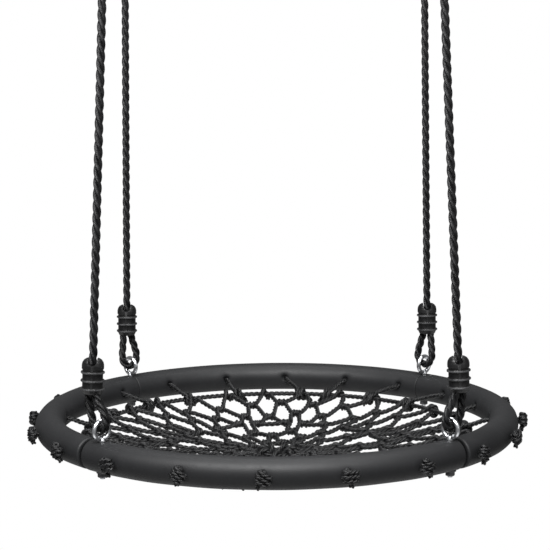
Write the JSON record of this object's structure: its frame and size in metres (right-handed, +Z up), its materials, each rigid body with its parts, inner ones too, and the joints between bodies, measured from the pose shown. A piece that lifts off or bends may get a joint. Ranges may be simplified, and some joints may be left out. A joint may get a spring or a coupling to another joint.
{
  "type": "saucer nest swing",
  "caption": "Round nest swing: foam-padded steel ring with a woven rope net, hung by ropes with moulded ferrules from eyebolts and hanging rings.",
  "frame": {"origin": "middle of the four points where the stand's hooks carry the hanging rings", "axes": "+Z up, +Y to the rear of the swing, +X to the right seen from the front"},
  "size_m": [0.624, 0.624, 0.7098],
  "materials": {
    "seat_foam": "satin",
    "steel_tube": "satin",
    "zinc_plate": "satin",
    "hanging_rope": "satin",
    "net_rope": "satin",
    "ferrule_plastic": "satin"
  },
  "bodies": {
    "hangers": {"hanging_ring_front_left": "zinc_plate", "hanging_ring_front_right": "zinc_plate", "hanging_ring_rear_left": "zinc_plate", "hanging_ring_rear_right": "zinc_plate"},
    "rope_front_left": {"hanging_rope_front_left": "hanging_rope", "lower_ferrule_front_left": "ferrule_plastic", "lower_loop_front_left": "hanging_rope", "upper_ferrule_front_left": "ferrule_plastic", "upper_loop_front_left": "hanging_rope"},
    "rope_front_right": {"hanging_rope_front_right": "hanging_rope", "lower_ferrule_front_right": "ferrule_plastic", "lower_loop_front_right": "hanging_rope", "upper_ferrule_front_right": "ferrule_plastic", "upper_loop_front_right": "hanging_rope"},
    "rope_rear_right": {"hanging_rope_rear_right": "hanging_rope", "lower_ferrule_rear_right": "ferrule_plastic", "lower_loop_rear_right": "hanging_rope", "upper_ferrule_rear_right": "ferrule_plastic", "upper_loop_rear_right": "hanging_rope"},
    "rope_rear_left": {"hanging_rope_rear_left": "hanging_rope", "lower_ferrule_rear_left": "ferrule_plastic", "lower_loop_rear_left": "hanging_rope", "upper_ferrule_rear_left": "ferrule_plastic", "upper_loop_rear_left": "hanging_rope"},
    "seat": {"eyebolt_front_left": "zinc_plate", "eyebolt_front_right": "zinc_plate", "eyebolt_nuts": "zinc_plate", "eyebolt_rear_left": "zinc_plate", "eyebolt_rear_right": "zinc_plate", "eyebolt_washers": "zinc_plate", "foam_sleeve_front": "seat_foam", "foam_sleeve_left": "seat_foam", "foam_sleeve_rear": "seat_foam", "foam_sleeve_right": "seat_foam", "net_centre_ring": "net_rope", "net_lashings": "net_rope", "net_rim_rope": "net_rope", "net_row_1": "net_rope", "net_row_2": "net_rope", "net_row_3": "net_rope", "net_row_4": "net_rope", "net_row_5": "net_rope", "net_row_6": "net_rope", "net_row_7": "net_rope", "rim_knots": "net_rope", "ring_tube_front": "steel_tube", "ring_tube_left": "steel_tube", "ring_tube_rear": "steel_tube", "ring_tube_right": "steel_tube"}
  },
  "joints": [
    {"name": "swing_front_left", "type": "hinge", "parent": "hangers", "child": "rope_front_left", "pos_m": [-0.185, -0.19905, -0.044], "axis": [1, 0, 0], "range_deg": [-30, 30]},
    {"name": "swing_front_right", "type": "hinge", "parent": "hangers", "child": "rope_front_right", "pos_m": [0.185, -0.19905, -0.044], "axis": [1, 0, 0], "range_deg": [-30, 30]},
    {"name": "swing_rear_right", "type": "hinge", "parent": "hangers", "child": "rope_rear_right", "pos_m": [0.1967, 0.19905, -0.044], "axis": [1, 0, 0], "range_deg": [-30, 30]},
    {"name": "swing_rear_left", "type": "hinge", "parent": "hangers", "child": "rope_rear_left", "pos_m": [-0.1967, 0.19905, -0.044], "axis": [1, 0, 0], "range_deg": [-30, 30]},
    {"name": "seat_level", "type": "hinge", "parent": "rope_front_left", "child": "seat", "pos_m": [-0.19905, -0.19905, -0.6178], "axis": [1, 0, 0], "range_deg": [-30, 30]}
  ],
  "couplings": [
    {"joint": "swing_front_right", "follows": "swing_front_left", "ratio": 1},
    {"joint": "swing_rear_right", "follows": "swing_front_left", "ratio": 1},
    {"joint": "swing_rear_left", "follows": "swing_front_left", "ratio": 1},
    {"joint": "seat_level", "follows": "swing_front_left", "ratio": -1}
  ]
}
